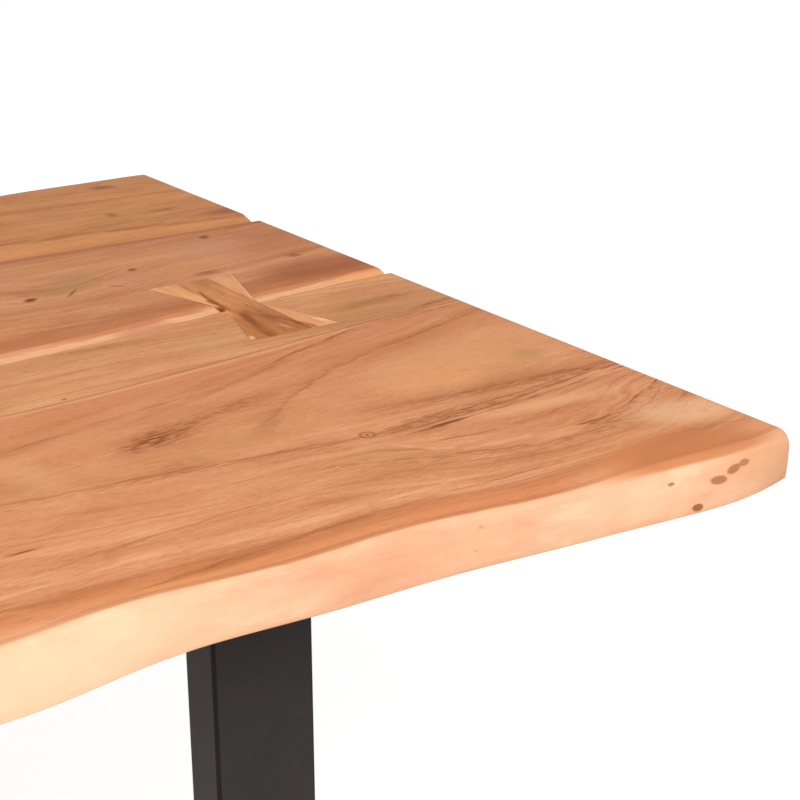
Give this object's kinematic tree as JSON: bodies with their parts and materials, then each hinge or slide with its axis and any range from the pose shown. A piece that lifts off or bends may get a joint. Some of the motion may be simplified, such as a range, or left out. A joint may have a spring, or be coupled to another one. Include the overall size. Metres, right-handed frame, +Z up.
{
  "type": "live edge dining table",
  "caption": "Dining table with a live edge plank top, open seams bridged by butterfly keys, and U-shaped steel tube leg frames on levelling feet.",
  "frame": {"origin": "on the floor, under the middle of the top's box", "axes": "+X along the table's length, -Y towards the long side with the front live edge, +Z up"},
  "size_m": [2, 1.0254, 0.76],
  "materials": {
    "oiled_acacia": "satin oiled flat-sawn acacia, honey brown with darker growth rings, pale sapwood on the live edges",
    "key_wood": "satin oiled acacia, its grain running along the key",
    "beech": "unfinished beech dowel",
    "black_powder_coat": "fine matt black powder coat on steel tube and flat bar",
    "zinc_plated_steel": "bright zinc plated steel",
    "black_nylon": "moulded black nylon"
  },
  "bodies": {
    "table": {"front_slab": "oiled_acacia", "front_stave": "oiled_acacia", "middle_board": "oiled_acacia", "rear_slab": "oiled_acacia", "butterfly_key_front_right": "key_wood", "butterfly_key_front_left": "key_wood", "butterfly_key_rear": "key_wood", "stave_joint_dowels": "beech", "front_seam_dowels": "beech", "rear_seam_dowels": "beech", "right_front_post": "black_powder_coat", "right_rear_post": "black_powder_coat", "right_foot_rail": "black_powder_coat", "right_top_bar": "black_powder_coat", "right_frame_bolts": "zinc_plated_steel", "right_washers": "zinc_plated_steel", "right_threaded_inserts": "zinc_plated_steel", "right_rivet_nuts": "zinc_plated_steel", "left_front_post": "black_powder_coat", "left_rear_post": "black_powder_coat", "left_foot_rail": "black_powder_coat", "left_top_bar": "black_powder_coat", "left_frame_bolts": "zinc_plated_steel", "left_washers": "zinc_plated_steel", "left_threaded_inserts": "zinc_plated_steel", "left_rivet_nuts": "zinc_plated_steel"},
    "right_front_pad": {"right_front_foot_pad": "black_nylon"},
    "right_front_stud": {"right_front_foot_stud": "zinc_plated_steel"},
    "right_rear_pad": {"right_rear_foot_pad": "black_nylon"},
    "right_rear_stud": {"right_rear_foot_stud": "zinc_plated_steel"},
    "left_front_pad": {"left_front_foot_pad": "black_nylon"},
    "left_front_stud": {"left_front_foot_stud": "zinc_plated_steel"},
    "left_rear_pad": {"left_rear_foot_pad": "black_nylon"},
    "left_rear_stud": {"left_rear_foot_stud": "zinc_plated_steel"}
  },
  "joints": [
    {"name": "right_front_foot_travel", "type": "slide", "parent": "table", "child": "right_front_pad", "axis": [0, 0, -1], "range_m": [0, 0.01]},
    {"name": "right_front_stud_turn", "type": "hinge", "parent": "right_front_pad", "child": "right_front_stud", "pos_m": [0.63, -0.32, 0.01], "axis": [0, 0, -1], "range_deg": [0, 2880]},
    {"name": "right_rear_foot_travel", "type": "slide", "parent": "table", "child": "right_rear_pad", "axis": [0, 0, -1], "range_m": [0, 0.01]},
    {"name": "right_rear_stud_turn", "type": "hinge", "parent": "right_rear_pad", "child": "right_rear_stud", "pos_m": [0.63, 0.32, 0.01], "axis": [0, 0, -1], "range_deg": [0, 2880]},
    {"name": "left_front_foot_travel", "type": "slide", "parent": "table", "child": "left_front_pad", "axis": [0, 0, -1], "range_m": [0, 0.01]},
    {"name": "left_front_stud_turn", "type": "hinge", "parent": "left_front_pad", "child": "left_front_stud", "pos_m": [-0.63, -0.32, 0.01], "axis": [0, 0, -1], "range_deg": [0, 2880]},
    {"name": "left_rear_foot_travel", "type": "slide", "parent": "table", "child": "left_rear_pad", "axis": [0, 0, -1], "range_m": [0, 0.01]},
    {"name": "left_rear_stud_turn", "type": "hinge", "parent": "left_rear_pad", "child": "left_rear_stud", "pos_m": [-0.63, 0.32, 0.01], "axis": [0, 0, -1], "range_deg": [0, 2880]}
  ],
  "couplings": [
    {"joint": "right_front_stud_turn", "follows": "right_front_foot_travel", "rad_per_m": 5026.5},
    {"joint": "right_rear_stud_turn", "follows": "right_rear_foot_travel", "rad_per_m": 5026.5},
    {"joint": "left_front_stud_turn", "follows": "left_front_foot_travel", "rad_per_m": 5026.5},
    {"joint": "left_rear_stud_turn", "follows": "left_rear_foot_travel", "rad_per_m": 5026.5}
  ]
}
